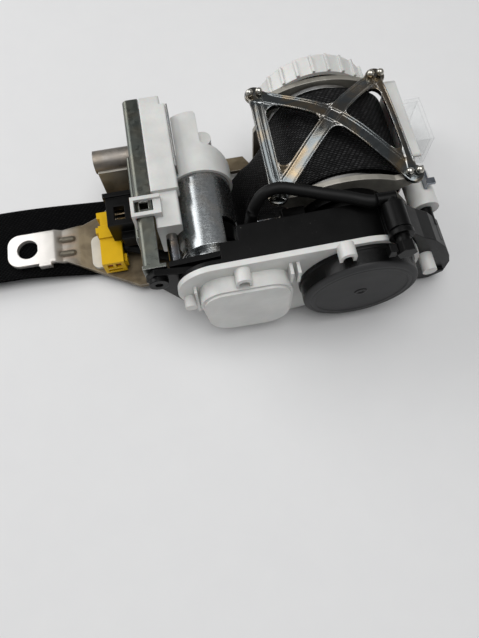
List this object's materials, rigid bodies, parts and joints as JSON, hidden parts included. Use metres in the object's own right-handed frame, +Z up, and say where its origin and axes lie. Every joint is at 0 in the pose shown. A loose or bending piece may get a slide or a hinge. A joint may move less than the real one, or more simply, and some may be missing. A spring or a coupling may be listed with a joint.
{
  "type": "seat belt retractor",
  "caption": "Motor-driven seat belt retractor: stamped frame with a crowned X brace, webbing spool, gear drive, motor, control unit, connectors and a mounting tab.",
  "frame": {"origin": "centre of the bolt hole in the mounting tab, at mid thickness", "axes": "+X along the base plate from the tab to the spool, +Y along the spool axis towards the locking side, +Z up through the bolt hole"},
  "size_m": [0.255, 0.1091, 0.069],
  "materials": {
    "zinc_steel": "satin",
    "brown_zinc": "satin",
    "tube_steel": "satin",
    "black_plastic": "satin",
    "white_plastic": "satin",
    "clear_plastic": "gloss",
    "yellow_plastic": "satin",
    "red_plastic": "satin",
    "pad": "matte",
    "lead_rubber": "matte",
    "dark_steel": "satin",
    "cast_alloy": "satin",
    "webbing": "matte",
    "gear_plastic": "satin",
    "bronze": "satin",
    "winding": "satin",
    "magnet": "matte",
    "board_green": "satin",
    "chip_black": "matte",
    "bright_steel": "gloss"
  },
  "bodies": {
    "retractor": {"frame": "brown_zinc", "x_brace": "zinc_steel", "brace_rivets": "zinc_steel", "near_bush": "white_plastic", "far_bush": "black_plastic", "webbing_strap": "webbing", "gear_housing": "black_plastic", "gear_cover": "white_plastic", "idler_axle": "dark_steel", "spring_cover": "black_plastic", "return_spring": "dark_steel", "motor_can": "zinc_steel", "motor_end_bell": "zinc_steel", "motor_bushes": "bronze", "motor_magnets": "magnet", "brush_holder": "black_plastic", "motor_cap": "white_plastic", "unit_case": "white_plastic", "heat_plate": "dark_steel", "shield_sheet": "zinc_steel", "spacer_rod": "zinc_steel", "circuit_board": "board_green", "board_parts": "chip_black", "unit_connector": "black_plastic", "connector_pins": "bronze", "steel_tube": "tube_steel", "tube_bracket": "brown_zinc", "squib_connector": "yellow_plastic", "squib_sleeves": "red_plastic", "connector_pad": "pad", "generator_lead": "lead_rubber", "gas_generator": "black_plastic", "generator_clip": "black_plastic", "pretensioner_case": "black_plastic", "case_plug": "white_plastic", "lead_clip": "black_plastic", "clip_staple": "zinc_steel", "sensor_cover": "white_plastic", "sensor_pod": "white_plastic", "pod_window": "clear_plastic", "side_shield": "white_plastic", "guide_sleeve": "white_plastic", "steel_hook": "zinc_steel", "lug_screw": "dark_steel"},
    "spool": {"spool": "cast_alloy", "torsion_bar": "dark_steel", "webbing_roll": "webbing", "lock_base": "cast_alloy", "ratchet_disc": "white_plastic", "clutch_hub": "dark_steel", "spring_arbor": "black_plastic"},
    "lock_pawl": {"lock_pawl": "dark_steel"},
    "ring_gear": {"ring_gear": "gear_plastic"},
    "clutch_pawl": {"clutch_pawl": "dark_steel"},
    "idler_gear": {"idler_gear": "gear_plastic"},
    "motor_rotor": {"motor_shaft": "dark_steel", "armature": "winding"},
    "sensor_ball": {"sensor_ball": "bright_steel"},
    "sensor_lever": {"sensor_lever": "gear_plastic"}
  },
  "joints": [
    {"name": "spool_spin", "type": "hinge", "parent": "retractor", "child": "spool", "pos_m": [0.152, 0.0055, 0.02465], "axis": [0, 1, 0], "continuous": true},
    {"name": "lock_pawl_swing", "type": "hinge", "parent": "spool", "child": "lock_pawl", "pos_m": [0.152, 0.0335, 0.03615], "axis": [0, -1, 0], "range_deg": [0, 16], "stiffness_Nm_per_rad": 0.004, "springref_deg": -5.73},
    {"name": "ring_gear_spin", "type": "hinge", "parent": "retractor", "child": "ring_gear", "pos_m": [0.152, -0.04, 0.02465], "axis": [0, 1, 0], "continuous": true},
    {"name": "clutch_pawl_swing", "type": "hinge", "parent": "ring_gear", "child": "clutch_pawl", "pos_m": [0.152, -0.0405, 0.03505], "axis": [0, 1, 0], "range_deg": [0, 24], "stiffness_Nm_per_rad": 0.001, "springref_deg": -5.73},
    {"name": "idler_spin", "type": "hinge", "parent": "retractor", "child": "idler_gear", "pos_m": [0.1209, -0.043, 0.02073], "axis": [0, 1, 0], "continuous": true},
    {"name": "motor_spin", "type": "hinge", "parent": "retractor", "child": "motor_rotor", "pos_m": [0.0912, -0.0145, 0.02125], "axis": [0, 1, 0], "continuous": true},
    {"name": "sensor_ball_rise", "type": "slide", "parent": "retractor", "child": "sensor_ball", "axis": [0, 0, 1], "range_m": [0, 0.001]},
    {"name": "sensor_lever_lift", "type": "hinge", "parent": "retractor", "child": "sensor_lever", "pos_m": [0.1965, 0.0405, 0.00885], "axis": [0, 1, 0], "range_deg": [0, 6.9]}
  ],
  "couplings": [
    {"joint": "idler_spin", "follows": "ring_gear_spin", "ratio": -2.8},
    {"joint": "motor_spin", "follows": "ring_gear_spin", "ratio": 9.8},
    {"joint": "sensor_lever_lift", "follows": "sensor_ball_rise", "rad_per_m": 117.6}
  ]
}
